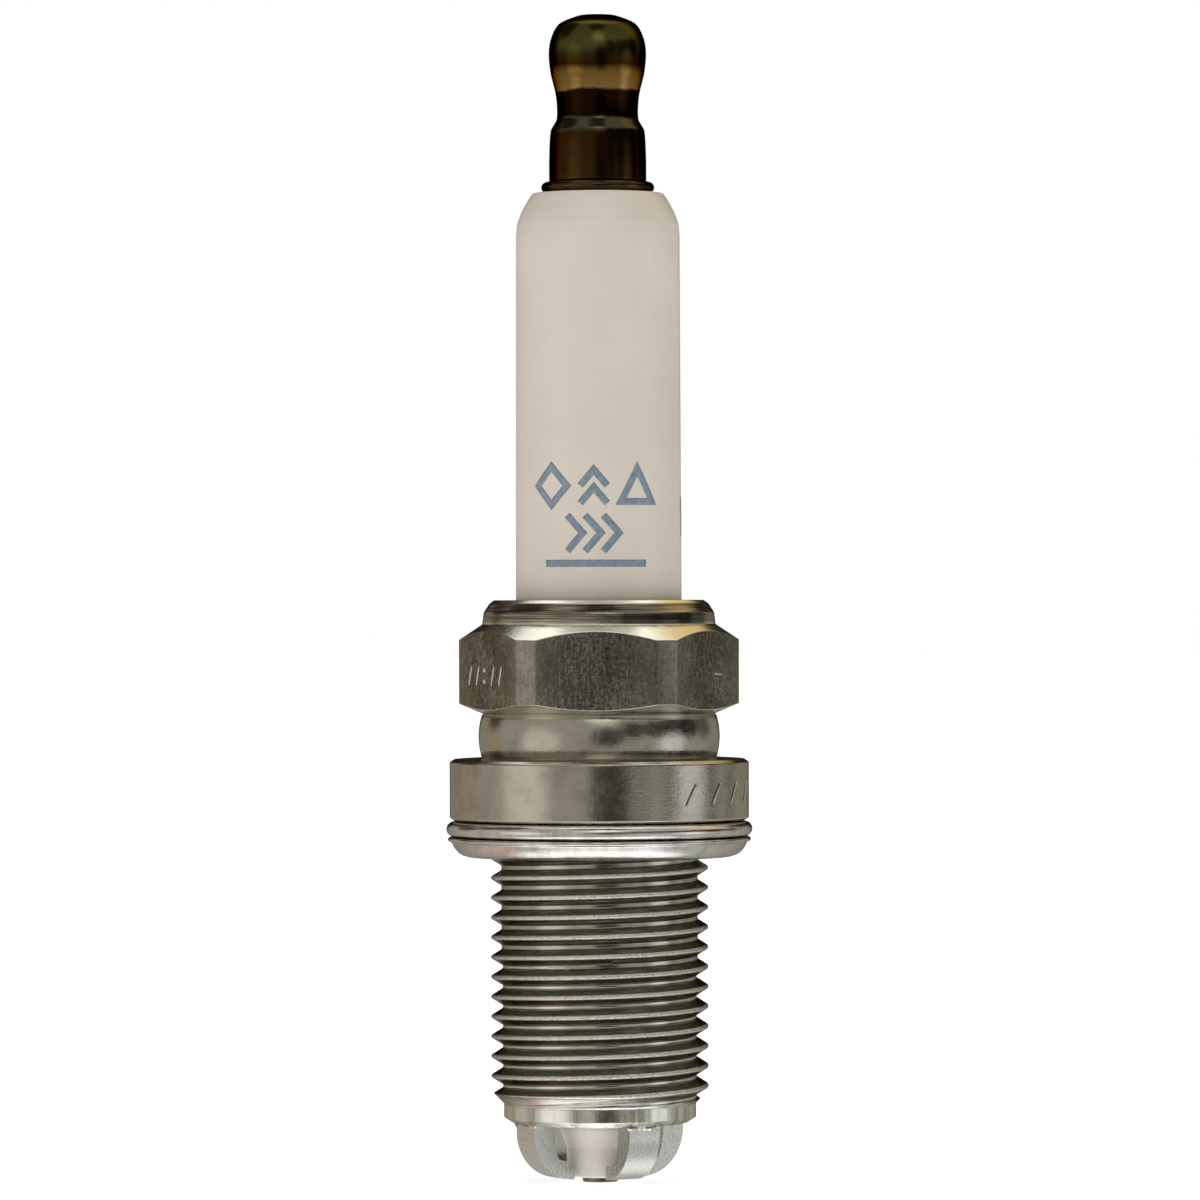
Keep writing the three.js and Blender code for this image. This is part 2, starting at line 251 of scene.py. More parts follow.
class Paint:
    """A node material, with short calls for the textures that the finishes share."""

    def __init__(self, name, **settings):
        self.material = bpy.data.materials.new(name)
        self.material.use_nodes = True
        self.nodes = self.material.node_tree.nodes
        self.links = self.material.node_tree.links
        self.shader = self.nodes["Principled BSDF"]
        for socket, value in settings.items():
            self.shader.inputs[socket.replace("_", " ")].default_value = value
        self.place = self.nodes.new("ShaderNodeTexCoord").outputs["Object"]

    def link(self, output, socket):
        self.links.new(output, self.shader.inputs[socket])

    def mapped(self, stretch):
        mapping = self.nodes.new("ShaderNodeMapping")
        mapping.inputs["Scale"].default_value = stretch
        self.links.new(self.place, mapping.inputs["Vector"])
        return mapping.outputs["Vector"]

    def noise(self, size, detail=4, stretch=(1, 1, 1), roughness=0.55):
        """Noise with features about size millimetres across."""
        node = self.nodes.new("ShaderNodeTexNoise")
        node.inputs["Scale"].default_value = 1 / (size * MM)
        node.inputs["Detail"].default_value = detail
        node.inputs["Roughness"].default_value = roughness
        self.links.new(self.mapped(stretch), node.inputs["Vector"])
        return node.outputs["Fac"]

    def reach(self):
        """Distance from the axis."""
        node = self.nodes.new("ShaderNodeVectorMath")
        node.operation = "LENGTH"
        self.links.new(self.mapped((1, 1, 0)), node.inputs[0])
        return node.outputs["Value"]

    def upward(self):
        """1 where the surface faces up the axis, -1 where it faces down."""
        node = self.nodes.new("ShaderNodeSeparateXYZ")
        self.links.new(self.nodes.new("ShaderNodeTexCoord").outputs["Normal"], node.inputs["Vector"])
        return node.outputs["Z"]

    def height(self):
        node = self.nodes.new("ShaderNodeSeparateXYZ")
        self.links.new(self.place, node.inputs["Vector"])
        return node.outputs["Z"]

    def span(self, value, low, high, to_low=0.0, to_high=1.0):
        node = self.nodes.new("ShaderNodeMapRange")
        ends = {"From Min": low, "From Max": high, "To Min": to_low, "To Max": to_high}
        for socket, number in ends.items():
            node.inputs[socket].default_value = number
        self.links.new(value, node.inputs["Value"])
        return node.outputs["Result"]

    def band(self, low, high, soft):
        """1 between two heights in millimetres, 0 outside them, with soft edges."""
        height = self.height()
        rise = self.span(height, (low - soft) * MM, (low + soft) * MM)
        fall = self.span(height, (high + soft) * MM, (high - soft) * MM)
        return self.math("MULTIPLY", rise, fall)

    def math(self, operation, first, second):
        node = self.nodes.new("ShaderNodeMath")
        node.operation = operation
        for socket, value in zip(node.inputs, (first, second)):
            if isinstance(value, (int, float)):
                socket.default_value = value
            else:
                self.links.new(value, socket)
        return node.outputs["Value"]

    def colours(self, value, stops):
        """A colour ramp through (position, colour) stops."""
        node = self.nodes.new("ShaderNodeValToRGB")
        elements = node.color_ramp.elements
        elements[0].position, elements[0].color = stops[0][0], (*stops[0][1], 1)
        elements[1].position, elements[1].color = stops[-1][0], (*stops[-1][1], 1)
        for position, colour in stops[1:-1]:
            elements.new(position).color = (*colour, 1)
        self.links.new(value, node.inputs["Fac"])
        return node.outputs["Color"]

    def mix(self, amount, first, second):
        node = self.nodes.new("ShaderNodeMix")
        node.data_type = "RGBA"
        for socket, value in zip(("Factor", "A", "B"), (amount, first, second)):
            sockets = [s for s in node.inputs if s.name == socket and s.enabled]
            if isinstance(value, tuple):
                sockets[0].default_value = (*value, 1)
            elif isinstance(value, (int, float)):
                sockets[0].default_value = value
            else:
                self.links.new(value, sockets[0])
        return [s for s in node.outputs if s.enabled][0]

    def bumps(self, *layers):
        """Each layer is a height texture and its depth in micrometres."""
        normal = None
        for height, depth in layers:
            node = self.nodes.new("ShaderNodeBump")
            node.inputs["Distance"].default_value = depth * 1e-6
            self.links.new(height, node.inputs["Height"])
            if normal:
                self.links.new(normal, node.inputs["Normal"])
            normal = node.outputs["Normal"]
        self.link(normal, "Normal")


def plated_steel():
    """Zinc-plated turned steel: finely pitted, with painted highlights on its bevels and at the firing
    end.
    """
    paint = Paint("plated_steel", Metallic=1.0, Specular_Tint=(0.66, 0.64, 0.56, 1))
    cloud = paint.noise(1.6, detail=6, roughness=0.65)
    tone = paint.colours(
        cloud,
        [(0.3, (0.42, 0.39, 0.33)), (0.5, (0.53, 0.5, 0.44)), (0.72, (0.6, 0.55, 0.49))],
    )
    pits = paint.noise(0.16, detail=4, roughness=0.7)
    tone = paint.mix(paint.span(pits, 0.27, 0.36), (0.28, 0.25, 0.21), tone)
    rings = paint.noise(1.2, detail=5, stretch=(0.3, 0.3, 16))
    crimped = paint.colours(
        rings,
        [(0.34, (0.1, 0.08, 0.055)), (0.52, (0.3, 0.27, 0.21)), (0.68, (0.6, 0.55, 0.46))],
    )
    tone = paint.mix(paint.band(*CRIMP, 0.06), tone, crimped)
    # The bevels' near-white colour is a painted highlight, where they catch the light from above and
    # below.
    for low, high in BEVEL_HIGHLIGHTS:
        tone = paint.mix(paint.band(low, high, 0.03), tone, (0.86, 0.85, 0.77))
    # The firing end is painted bright in vertical streaks: a painted reflection of the light from
    # below.
    bands = paint.noise(1.1, detail=3, stretch=(1, 1, 0.04), roughness=0.6)
    bright = paint.colours(
        bands,
        [(0.38, (0.4, 0.36, 0.27)), (0.47, (0.74, 0.73, 0.66)), (0.6, (0.95, 0.95, 0.92))],
    )
    firing_end_highlight = paint.span(paint.height(), END_HIGHLIGHT[0] * MM, END_HIGHLIGHT[1] * MM)
    paint.link(paint.mix(firing_end_highlight, tone, bright), "Base Color")
    paint.link(paint.span(paint.noise(0.4, detail=5), 0.3, 0.7, 0.11, 0.24), "Roughness")
    paint.bumps((rings, 3), (paint.noise(0.22, detail=3), 7), (pits, 3))
    return paint.material


def drawn_steel():
    """The hexagon: drawn bar, dark and speckled in the middle of its flats, smoother at the corners."""
    paint = Paint("drawn_steel", Metallic=1.0, Specular_Tint=(0.6, 0.58, 0.5, 1))
    speckle = paint.noise(0.2, detail=5, roughness=0.72)
    grain = paint.noise(0.12, detail=5, stretch=(1, 1, 0.16), roughness=0.65)
    cloud = paint.noise(2.4, detail=4)
    speckle_part = paint.math("MULTIPLY", speckle, 0.62)
    mottle = paint.math("ADD", speckle_part, paint.math("MULTIPLY", grain, 0.38))
    uneven = paint.math("ADD", mottle, paint.span(cloud, 0.3, 0.7, -0.05, 0.05))
    dark = paint.colours(
        uneven,
        [
            (0.36, (0.08, 0.07, 0.05)),
            (0.5, (0.2, 0.185, 0.15)),
            (0.6, (0.42, 0.4, 0.35)),
            (0.7, (0.72, 0.7, 0.63)),
        ],
    )
    worn = paint.colours(
        uneven,
        [(0.34, (0.18, 0.165, 0.135)), (0.52, (0.32, 0.3, 0.255)), (0.68, (0.52, 0.5, 0.44))],
    )
    corner = paint.span(paint.reach(), 8.1 * MM, 8.75 * MM)
    paint.link(paint.mix(corner, dark, worn), "Base Color")
    paint.link(paint.span(speckle, 0.3, 0.7, 0.26, 0.42), "Roughness")
    paint.bumps((mottle, 16))
    return paint.material


def rolled_steel():
    """The thread: rolled and dark on its flanks, with painted shade on the flanks that face up, painted
    light on those that face down, and painted highlights in the roots, on the crests and at the firing
    end.
    """
    paint = Paint("rolled_steel", Metallic=1.0, Specular_Tint=(0.4, 0.4, 0.34, 1))
    # Flanks that face up take the darker colours and flanks that face down the lighter ones: painted
    # shade above and painted light from below, chosen by the way each face points.
    streaks = paint.noise(0.9, detail=6, stretch=(1, 1, 9), roughness=0.65)
    above = paint.colours(
        streaks,
        [(0.3, (0.16, 0.19, 0.14)), (0.55, (0.3, 0.33, 0.25)), (0.75, (0.44, 0.45, 0.37))],
    )
    below = paint.colours(
        streaks,
        [(0.3, (0.3, 0.26, 0.22)), (0.55, (0.46, 0.41, 0.36)), (0.75, (0.6, 0.55, 0.5))],
    )
    flank = paint.mix(paint.span(paint.upward(), -0.2, 0.2), below, above)
    reach = paint.reach()
    ragged = paint.math("MULTIPLY", paint.noise(0.14, detail=4, roughness=0.7), 0.12 * MM)
    crest = paint.span(paint.math("ADD", reach, ragged), CREST_HIGHLIGHT[0] * MM, CREST_HIGHLIGHT[1] * MM)
    # The roots are painted light: a painted highlight along their curve.
    root = paint.span(reach, ROOT_HIGHLIGHT[0] * MM, ROOT_HIGHLIGHT[1] * MM)
    # The thread's last turns at the firing end are painted light: a painted reflection of the light
    # from below.
    firing_end_highlight = paint.span(paint.height(), THREAD_END_HIGHLIGHT[0] * MM, THREAD_END_HIGHLIGHT[1] * MM)
    # The crests are painted near white in specks: a painted highlight, a sparkle along their rounded
    # edges.
    crest_sparkle = paint.colours(
        paint.noise(0.13, detail=4, stretch=(1, 1, 2), roughness=0.7),
        [(0.36, (0.4, 0.37, 0.34)), (0.46, (0.95, 0.92, 0.88)), (0.6, (1, 1, 1))],
    )
    tone = paint.mix(crest, paint.mix(root, flank, (0.78, 0.75, 0.72)), crest_sparkle)
    paint.link(paint.mix(firing_end_highlight, tone, (0.86, 0.86, 0.83)), "Base Color")
    paint.link(paint.span(streaks, 0.3, 0.7, 0.1, 0.2), "Roughness")
    nicks = paint.math("MULTIPLY", paint.noise(0.16, detail=4, roughness=0.7), crest)
    paint.bumps((streaks, 5), (nicks, 60))
    return paint.material


def bright_sheet():
    """The gasket: bright plated sheet with rolling marks and scratches round it."""
    paint = Paint("bright_sheet", Metallic=1.0, Specular_Tint=(0.6, 0.56, 0.53, 1))
    cloud = paint.noise(1.1, detail=6, roughness=0.65)
    tone = paint.colours(
        cloud,
        [(0.3, (0.6, 0.56, 0.53)), (0.5, (0.8, 0.77, 0.75)), (0.72, (0.92, 0.9, 0.88))],
    )
    paint.link(tone, "Base Color")
    paint.link(paint.span(cloud, 0.3, 0.7, 0.06, 0.15), "Roughness")
    scratches = paint.noise(0.5, detail=5, stretch=(0.35, 0.35, 8), roughness=0.65)
    paint.bumps((scratches, 9), (paint.noise(0.2), 3))
    return paint.material


def nickel():
    """The electrodes: bright drawn nickel alloy, scratched along its length."""
    paint = Paint("nickel", Metallic=1.0)
    scratches = paint.noise(0.3, detail=6, stretch=(4, 4, 1), roughness=0.7)
    tone = paint.colours(
        scratches,
        [(0.32, (0.55, 0.56, 0.52)), (0.5, (0.8, 0.81, 0.78)), (0.66, (0.95, 0.95, 0.93))],
    )
    paint.link(tone, "Base Color")
    paint.link(paint.span(scratches, 0.3, 0.7, 0.16, 0.3), "Roughness")
    paint.bumps((scratches, 16), (paint.noise(0.14), 4))
    return paint.material


def dark_bronze():
    """The terminal: black-brown oxide in bands by height that are partly its colour and partly painted
    reflection and shade: olive on top, copper-bright under the bulb.
    """
    paint = Paint("dark_bronze", Metallic=1.0, Specular_Tint=(0.12, 0.08, 0.05, 1))
    patina = paint.noise(2.2, detail=4, roughness=0.5)
    height = paint.math("ADD", paint.height(), paint.span(patina, 0.3, 0.7, -0.15 * MM, 0.15 * MM))
    low, high = 40, 51
    share = paint.span(height, low * MM, high * MM)
    # Bands partly oxide colour, partly painted light and shade: the skirt's top chamfer light, the
    # waist black, the bulb copper-bright below and olive above.
    bands = [
        (40.0, (0.07, 0.05, 0.018)),
        (40.6, (0.06, 0.03, 0.008)),
        (43.3, (0.05, 0.022, 0.005)),
        (43.65, (0.13, 0.12, 0.075)),
        (44.2, (0.11, 0.1, 0.06)),
        (44.4, (0.014, 0.006, 0.002)),
        (45.95, (0.018, 0.007, 0.002)),
        (46.1, (0.36, 0.22, 0.075)),
        (47.1, (0.27, 0.15, 0.04)),
        (47.6, (0.04, 0.017, 0.004)),
        (48.2, (0.05, 0.03, 0.007)),
        (48.8, (0.11, 0.1, 0.03)),
        (50.2, (0.09, 0.075, 0.022)),
        (50.7, (0.03, 0.022, 0.008)),
    ]
    oxide = paint.colours(share, [((z - low) / (high - low), colour) for z, colour in bands])
    paint.link(paint.mix(paint.span(patina, 0.1, 0.42), (0.02, 0.008, 0.002), oxide), "Base Color")
    paint.link(paint.span(patina, 0.3, 0.7, 0.12, 0.22), "Roughness")
    paint.bumps((paint.noise(0.7, detail=4, stretch=(0.3, 0.3, 10)), 2), (paint.noise(0.5), 3))
    return paint.material


def stud_oxide():
    """The stud: black-brown oxide like the nut's, and steel that shows through on its crests."""
    paint = Paint("stud_oxide", Metallic=1.0, Specular_Tint=(0.2, 0.15, 0.1, 1))
    patina = paint.noise(0.8, detail=5)
    oxide = paint.colours(patina, [(0.3, (0.05, 0.035, 0.014)), (0.7, (0.11, 0.085, 0.035))])
    crest = paint.span(paint.reach(), 1.88 * MM, 1.94 * MM)
    thread = paint.math("MULTIPLY", crest, paint.span(paint.height(), 40.4 * MM, 40.8 * MM))
    paint.link(paint.mix(thread, oxide, (0.5, 0.45, 0.36)), "Base Color")
    paint.link(paint.span(patina, 0.3, 0.7, 0.14, 0.28), "Roughness")
    paint.bumps((patina, 6))
    return paint.material


def glazed_ceramic():
    """The insulator's head: ivory alumina under a clear, slightly uneven glaze."""
    paint = Paint("glazed_ceramic", Roughness=0.42, Coat_Weight=0.35, Coat_Roughness=0.12)
    cloud = paint.noise(6, detail=5)
    grain = paint.noise(0.25, detail=3)
    tint = paint.math("ADD", paint.math("MULTIPLY", cloud, 0.8), paint.math("MULTIPLY", grain, 0.2))
    tone = paint.colours(
        tint,
        [(0.35, (0.67, 0.6, 0.53)), (0.6, (0.72, 0.655, 0.585)), (0.7, (0.745, 0.685, 0.615))],
    )
    paint.link(tone, "Base Color")
    paint.bumps((paint.noise(3, detail=2), 12), (grain, 1))
    return paint.material


def bare_ceramic():
    """The nose: fired alumina with no glaze, chalky and a little pink."""
    paint = Paint("bare_ceramic", Roughness=0.75)
    cloud = paint.noise(1.5, detail=6)
    tone = paint.colours(cloud, [(0.3, (0.86, 0.79, 0.74)), (0.7, (0.95, 0.91, 0.87))])
    paint.link(tone, "Base Color")
    paint.bumps((paint.noise(0.12, detail=4), 6), (cloud, 8))
    return paint.material


def print_ink():
    """The print on the head: blue-grey ink fired into the glaze, thin in places."""
    paint = Paint("print_ink", Roughness=0.4, Coat_Weight=0.3, Coat_Roughness=0.15)
    cover = paint.noise(0.35, detail=5)
    tone = paint.colours(cover, [(0.3, (0.15, 0.205, 0.275)), (0.7, (0.25, 0.315, 0.39))])
    paint.link(tone, "Base Color")
    paint.bumps((cover, 3))
    return paint.material


def grainy(name, dark, light, size, metallic=0.0, roughness=(0.5, 0.8), depth=10):
    """A plain two-tone grain, for the pieces sealed inside, the stamped marks and the pin."""
    paint = Paint(name, Metallic=metallic)
    grain = paint.noise(size, detail=6, roughness=0.65)
    paint.link(paint.colours(grain, [(0.3, dark), (0.7, light)]), "Base Color")
    paint.link(paint.span(grain, 0.3, 0.7, *roughness), "Roughness")
    paint.bumps((grain, depth))
    return paint.material


# ---- The shell -------------------------------------------------------------------------------


def shell_angles():
    """Angles from the back, with extra ones at both edges of each turned corner of the hexagon."""
    edge = 30 - math.degrees(math.acos(HEX_FLAT / HEX_CORNER))
    near = edge + np.array([-2.4, -1.2, -0.5, -0.18, 0, 0.18, 0.5, 1.2])
    half = np.concatenate([[0], near[near > 0.3], np.linspace(edge + 2.4, 30, 13)])
    sector = np.concatenate([half, 60 - half[-2:0:-1]])
    degrees = np.concatenate([sector + 60 * k for k in range(6)] + [[360]])
    turned = np.radians(degrees)
    start = np.argmin(np.abs(degrees - 90))
    return np.concatenate([turned[start:-1], turned[: start + 1] + 2 * math.pi])


def hexagon_radius(angles):
    """Distance from the axis to the hexagon's wall: the lesser of flat and corner, softly blended."""
    blend = 0.018
    flat = HEX_FLAT / np.cos(angles % (math.pi / 3) - math.pi / 6)
    return -blend * np.log(np.exp(-flat / blend) + math.exp(-HEX_CORNER / blend))


def neck_outline():
    """The plain neck between the flange and the hexagon, slightly barrelled."""
    heights = np.linspace(FLANGE_TOP + 0.12, HEX_LOW[1] - 0.08, 11)
    return [(NECK["radius"] - (z - NECK["middle"]) ** 2 / (2 * NECK["curve"]), z) for z in heights]


def hexagon_corners(angles):
    """The hexagon's outline at each angle: chamfer, wall, chamfer."""
    wall = hexagon_radius(angles)
    low_share = (wall - HEX_LOW[0]) / (HEX_CORNER - HEX_LOW[0])
    high_share = (wall - HEX_HIGH[0]) / (HEX_CORNER - HEX_HIGH[0])
    low = HEX_LOW[1] + low_share * (HEX_EDGES[0] - HEX_LOW[1])
    high = HEX_HIGH[1] + high_share * (HEX_EDGES[1] - HEX_HIGH[1])
    return [(wall, low, 0.09), (wall, high, 0.09)]


def shell_envelope(z, r):
    """Cuts the thread down to its chamfered ends, the pilot below and the relief above."""
    chamfer = PILOT_RADIUS + (z - SHELL_END - 1.2)
    runout = RELIEF_RADIUS + (-0.9 - z) * 1.4
    floor = np.where(z < -9, PILOT_RADIUS, RELIEF_RADIUS)
    floor = np.minimum(floor, np.maximum(PILOT_RADIUS, chamfer))
    return np.maximum(floor, np.minimum(r, np.minimum(chamfer, runout)))


def shell_mesh():
    angles = shell_angles()
    pilot_top, relief_low = SHELL_END + 0.75, -0.45
    nose_end = rounded(
        [
            (LOWER_BORE, SHELL_END + 2),
            (LOWER_BORE, SHELL_END, 0.12),
            (5.55, SHELL_END, 0.06),
            (PILOT_RADIUS, SHELL_END + 0.34, 0.08),
            (PILOT_RADIUS, pilot_top),
        ]
    )
    upper = rounded(
        [
            (RELIEF_RADIUS, relief_low),
            (RELIEF_RADIUS, 0, 0.15),
            (FLANGE_RADIUS - 0.3, 0, 0.05),
            (FLANGE_RADIUS, 0.16, 0.12),
            (FLANGE_RADIUS, FLANGE_TOP - 0.24, 0.14),
            (FLANGE_RADIUS - 0.28, FLANGE_TOP - 0.04, 0.14),
            (7.4, FLANGE_TOP + 0.05, 0.06),
            *neck_outline(),
            (HEX_LOW[0] - 0.03, HEX_LOW[1], 0.05),
            *hexagon_corners(angles),
            (HEX_HIGH[0] + 0.01, HEX_HIGH[1] + 0.01, 0.06),
            (7.28, 13.12, 0.5),
            (6.93, 13.67, 0.5),
            (6.62, COLLAR_TOP, 0.16),
            (5.44, COLLAR_TOP, 0.06),
            (5.44, 13.34, 0.05),
            (5.8, 13.29, 0.1),
            (6.05, 13.18, 0.1),
            (UPPER_BORE, 12.9, 0.1),
            (UPPER_BORE, 3.7, 0.2),
            (SEAT[1][0], 2.0, 0.2),
            (SEAT[1][0], SEAT[1][1], 0.1),
            (SEAT[0][0], SEAT[0][1], 0.1),
            (SEAT[0][0], -6.9, 0.1),
            (LOWER_BORE, -7.2, 0.1),
            (LOWER_BORE, SHELL_END + 2),
        ],
        longest=0.8,
    )
    grids = [
        revolve(nose_end, angles),
        helix(THREAD, pilot_top, relief_low, shell_envelope, angles),
        revolve(upper, angles),
    ]
    return mesh_of(grids, "shell_body")


def paint_shell_faces(mesh):
    """Faces of the hexagon's flats and of the thread take their own finishes."""
    for face in mesh.polygons:
        centre = face.center / MM
        reach = math.hypot(centre.x, centre.y)
        upright = abs(face.normal.z) < 0.3
        if upright and reach > 7.8 and HEX_LOW[1] < centre.z < HEX_HIGH[1]:
            face.material_index = 1
        elif reach > PILOT_RADIUS + 0.01 and SHELL_END + 1.0 < centre.z < -0.5:
            face.material_index = 2


def build_shell():
    piece = add_piece(
        shell_mesh(),
        "shell_body",
        "plug",
        [plated_steel(), drawn_steel(), rolled_steel()],
        ["shell"],
    )
    paint_shell_faces(piece.data)
    return piece


def scar(start, end, width, place, lift=0.4, ragged=0.0):
    """A closed slender ridge, half sunk in the metal, from start to end, both (along, up).

    place(along, up, out) gives the positions on the face that carries it.
    """
    start, end = np.array(start), np.array(end)
    share = np.linspace(0, 1, 25)[None, :]
    turn = np.linspace(0, 2 * math.pi, 11)[:, None]
    swell = np.sqrt(1 - (2 * share - 1) ** 4) * width / 2
    swell = swell * (1 + ragged * np.sin(29 * share + 2 * np.sin(2 * turn)) * np.sin(17 * share))
    run = end - start
    side = np.array([-run[1], run[0]]) / np.linalg.norm(run)
    along = start[0] + run[0] * share + side[0] * swell * np.cos(turn)
    up = start[1] + run[1] * share + side[1] * swell * np.cos(turn)
    return np.stack(place(along, up, swell * lift * np.sin(turn)), -1)


def on_round(radius_there, azimuth):
    """Places a mark on a round wall, centred on an azimuth measured right of the front."""

    def place(along, up, out):
        angle = math.radians(azimuth - 90) + along / radius_there
        return (radius_there + out) * np.cos(angle), (radius_there + out) * np.sin(angle), up

    return place


def on_flat(distance, azimuth):
    """Places a mark on a flat wall that faces an azimuth measured right of the front."""
    turn = math.radians(azimuth)

    def place(along, up, out):
        x = (distance + out) * math.sin(turn) + along * math.cos(turn)
        y = along * math.sin(turn) - (distance + out) * math.cos(turn)
        return x, y, up + 0 * along

    return place


def build_marks():
    """Stamped marks: slanting ticks on the flange, and plain strokes and dots on two flats; the cuts
    are coloured dark as painted shade, the burrs bright as painted highlights.
    """
    cut, burr = [], []
    for turn in (36, 49, 61, 74):
        place = on_round(FLANGE_RADIUS, turn)
        cut.append(scar((-0.05, 1.05), (0.8, 2.5), 0.17, place, 0.2))
        burr.append(scar((0.1, 1.1), (0.95, 2.5), 0.15, place, 0.9))
    left, right = on_flat(HEX_FLAT, -60), on_flat(HEX_FLAT, 60)
    for along in (-2.6, -1.6, 0.4, 1.4):
        cut.append(scar((along, 8.5), (along + 0.4, 9.8), 0.2, left, 0.15))
        burr.append(scar((along + 0.16, 8.55), (along + 0.56, 9.8), 0.16, left, 0.7))
    for up in (8.75, 9.45):
        burr.append(scar((-0.5, up), (-0.2, up + 0.14), 0.26, left, 0.6))
    cut.append(scar((0.8, 9.12), (1.7, 9.08), 0.16, right, 0.15))
    burr.append(scar((0.8, 9.26), (1.7, 9.22), 0.16, right, 0.7))
    # Painted shade for the dark side of the stamped indents, and a painted highlight for their burred
    # edges.
    dark = grainy("stamped_mark_shade", (0.1, 0.09, 0.07), (0.22, 0.2, 0.17), 0.3, 1.0, (0.3, 0.5))
    bright = grainy("burr_highlight", (0.72, 0.7, 0.64), (0.95, 0.93, 0.88), 0.3, 1.0, (0.12, 0.3))
    add_piece(mesh_of(cut, "stamped_marks"), "stamped_marks", "plug", [dark])
    add_piece(mesh_of(burr, "mark_burrs"), "mark_burrs", "plug", [bright])


def build_welds(metal):
    """A ragged bead of weld outside the root of each strap."""
    beads = []
    for number in range(4):
        place = on_flat(STRAP_OUTER - 0.04, 90 + STRAP_TURN + 90 * number)
        beads.append(scar((-1.3, SHELL_END - 0.02), (1.3, SHELL_END - 0.02), 0.42, place, 0.8, 0.45))
    add_piece(mesh_of(beads, "weld_beads"), "weld_beads", "plug", [metal])


# ---- Gasket ----------------------------------------------------------------------------------


def arc(centre, size, start, end, steps):
    """Points on an arc in the plane of radius and height, angles in degrees."""
    turns = np.radians(np.linspace(start, end, steps + 1))
    return [(centre[0] + size * math.cos(a), centre[1] + size * math.sin(a)) for a in turns]


def strip(centreline, thickness, steps=6):
    """The closed outline of a strip with round ends along a centreline."""
    line = np.array(centreline)
    along = np.gradient(line, axis=0)
    along /= np.linalg.norm(along, axis=1, keepdims=True)
    side = np.stack([along[:, 1], -along[:, 0]], 1) * thickness / 2
    start, end = line[0], line[-1]
    sweep = np.linspace(0, math.pi, steps + 1)[1:-1, None]
    end_cap = end + side[-1] * np.cos(sweep) + along[-1] * np.sin(sweep) * thickness / 2
    start_cap = start - side[0] * np.cos(sweep) - along[0] * np.sin(sweep) * thickness / 2
    outline = np.concatenate([line + side, end_cap, (line - side)[::-1], start_cap])
    return np.concatenate([outline, outline[:1]])[:, None, :]


def build_gasket():
    """One strip of sheet rolled into an S: a top leaf, a roll at the rim, and a cup under it."""
    sheet = 0.28
    fold, fold_centre = 0.63, (7.74, -1.53)
    centreline = [
        (7.3, -0.19),
        (8.0, -0.19),
        (8.7, -0.18),
        *arc((9.18, -0.54), 0.345, 90, -86, 14),
        (8.7, -0.89),
        (8.3, -0.9),
        *arc(fold_centre, fold, 88, 268, 14),
        (8.0, -2.16),
        (8.3, -2.145),
        (8.6, -2.06),
        (8.82, -1.92),
        (9.0, -1.72),
        (9.12, -1.52),
        (9.2, -1.35),
        (9.28, -1.24),
        (9.43, -1.19),
    ]
    mesh = mesh_of([revolve(strip(centreline, sheet), turn_angles(200))], "gasket_sheet")
    finish = [bright_sheet()]
    return add_piece(mesh, "gasket_sheet", "gasket", finish, ["gasket"], sharp=60)


# ---- Insulator and its print -----------------------------------------------------------------


def build_insulator():
    low, high = HEAD_RADIUS
    corners = [
        (1.2, NOSE_TIP, 0.05),
        (2.09, NOSE_TIP, 0.16),
        (2.11, -20.6, 0.3),
        (2.56, -19.45, 0.5),
        (3.46, -5.9, 0.3),
        (3.56, -5.12, 0.1),
        (4.55, -4.28, 0.1),
        (4.55, 2.6, 0.2),
        (6.05, 4.2, 0.3),
        (6.05, 9.4, 0.3),
        (low, 10.1, 0.2),
        (high, 36.9, 0.6),
        (5.1, 37.65, 1.2),
        (4.82, 38.4, 1.2),
        (4.4, HEAD_TOP - 0.4, 0.3),
        (4.12, HEAD_TOP, 0.2),
        (CORE_BORE, HEAD_TOP, 0.12),
        (CORE_BORE, -3.4, 0.05),
        (1.2, -3.95, 0.05),
    ]
    points = rounded(corners, closed=True, steps=6, longest=1.2)
    mesh = mesh_of([revolve(points, turn_angles(192))], "insulator_body")
    materials = [glazed_ceramic(), bare_ceramic()]
    piece = add_piece(mesh, "insulator_body", "plug", materials, ["insulator"])
    for face in mesh.polygons:
        if face.center.z < GLAZE_LOW * MM:
            face.material_index = 1
    return piece


def head_radius_at(z):
    share = (z - 10.1) / (37.2 - 10.1)
    return HEAD_RADIUS[0] + share * (HEAD_RADIUS[1] - HEAD_RADIUS[0])


def stroke(points, width, closed=False):
    """Left and right edges of a pen stroke through (along, up) points, with mitred corners."""
    line = np.array(points, float)
    ahead = np.roll(line, -1, 0) - line
    if not closed:
        ahead[-1] = ahead[-2]
    behind = np.roll(ahead, 1, 0)
    if not closed:
        behind[0] = ahead[0]
    ahead /= np.linalg.norm(ahead, axis=1, keepdims=True)
    behind /= np.linalg.norm(behind, axis=1, keepdims=True)
    mitre = ahead + behind
    mitre = np.stack([-mitre[:, 1], mitre[:, 0]], 1)
    mitre /= np.linalg.norm(mitre, axis=1, keepdims=True)
    normal = np.stack([-ahead[:, 1], ahead[:, 0]], 1)
    mitre *= (width / 2) / np.maximum((mitre * normal).sum(1, keepdims=True), 0.4)
    left, right = line + mitre, line - mitre
    if closed:
        left, right = np.concatenate([left, left[:1]]), np.concatenate([right, right[:1]])
    return left, right


